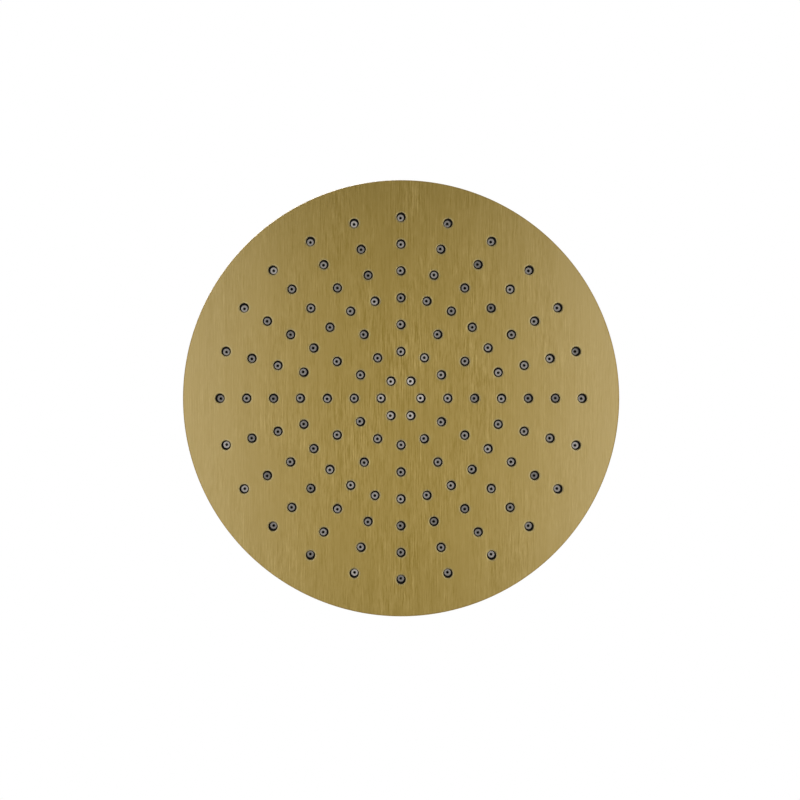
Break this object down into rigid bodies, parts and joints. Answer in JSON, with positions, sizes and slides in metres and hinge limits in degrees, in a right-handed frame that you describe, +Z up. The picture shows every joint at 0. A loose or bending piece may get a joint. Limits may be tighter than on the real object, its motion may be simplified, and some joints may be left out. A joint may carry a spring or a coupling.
{
  "type": "rain shower head",
  "caption": "Round flat rain shower head in brushed brass colour, with rings of soft spray nozzles in its face and a swivel ball inlet at the back.",
  "frame": {"origin": "centre of the inlet's mouth, on the axis of its pipe thread", "axes": "+Z up along the pipe thread, out of the inlet's mouth; the spray face looks down"},
  "size_m": [0.25, 0.25, 0.0632],
  "materials": {
    "brass_coloured_brushed_sheet": "brushed stainless sheet with a brass-coloured coat",
    "brass_coloured_turned": "turned, with a brass-coloured coat",
    "plain_brass": "turned, uncoated",
    "stainless_turned": "turned",
    "stainless_mesh": "woven",
    "grey_silicone": "moulded, satin",
    "black_rubber": "moulded, matt",
    "green_rubber": "moulded, matt",
    "grey_abs": "moulded",
    "white_acetal": "moulded, slightly waxy"
  },
  "bodies": {
    "inlet": {"swivel_ball": "brass_coloured_turned", "inlet_washer": "black_rubber", "inlet_strainer": "stainless_mesh", "flow_regulator": "white_acetal", "regulator_ring": "green_rubber"},
    "slip_ring": {"slip_ring": "white_acetal"},
    "ball_seat": {"ball_seat": "black_rubber"},
    "head": {"face_plate": "brass_coloured_brushed_sheet", "face_standoffs": "stainless_turned", "nozzle_mat": "grey_silicone", "mat_clamp_ring": "grey_abs", "chamber_seal": "black_rubber", "back_cover": "brass_coloured_brushed_sheet", "cover_screws": "brass_coloured_turned", "inlet_neck": "plain_brass", "neck_gasket": "black_rubber", "neck_locknut": "brass_coloured_turned", "collar_nut": "brass_coloured_turned"}
  },
  "joints": [
    {"name": "swivel_tilt_x", "type": "hinge", "parent": "inlet", "child": "slip_ring", "pos_m": [0, 0, -0.03582], "axis": [1, 0, 0], "range_deg": [-12, 12]},
    {"name": "swivel_tilt_y", "type": "hinge", "parent": "slip_ring", "child": "ball_seat", "pos_m": [0, 0, -0.03582], "axis": [0, 1, 0], "range_deg": [-12, 12]},
    {"name": "swivel_spin", "type": "hinge", "parent": "ball_seat", "child": "head", "pos_m": [0, 0, -0.03582], "axis": [0, 0, 1], "continuous": true}
  ]
}
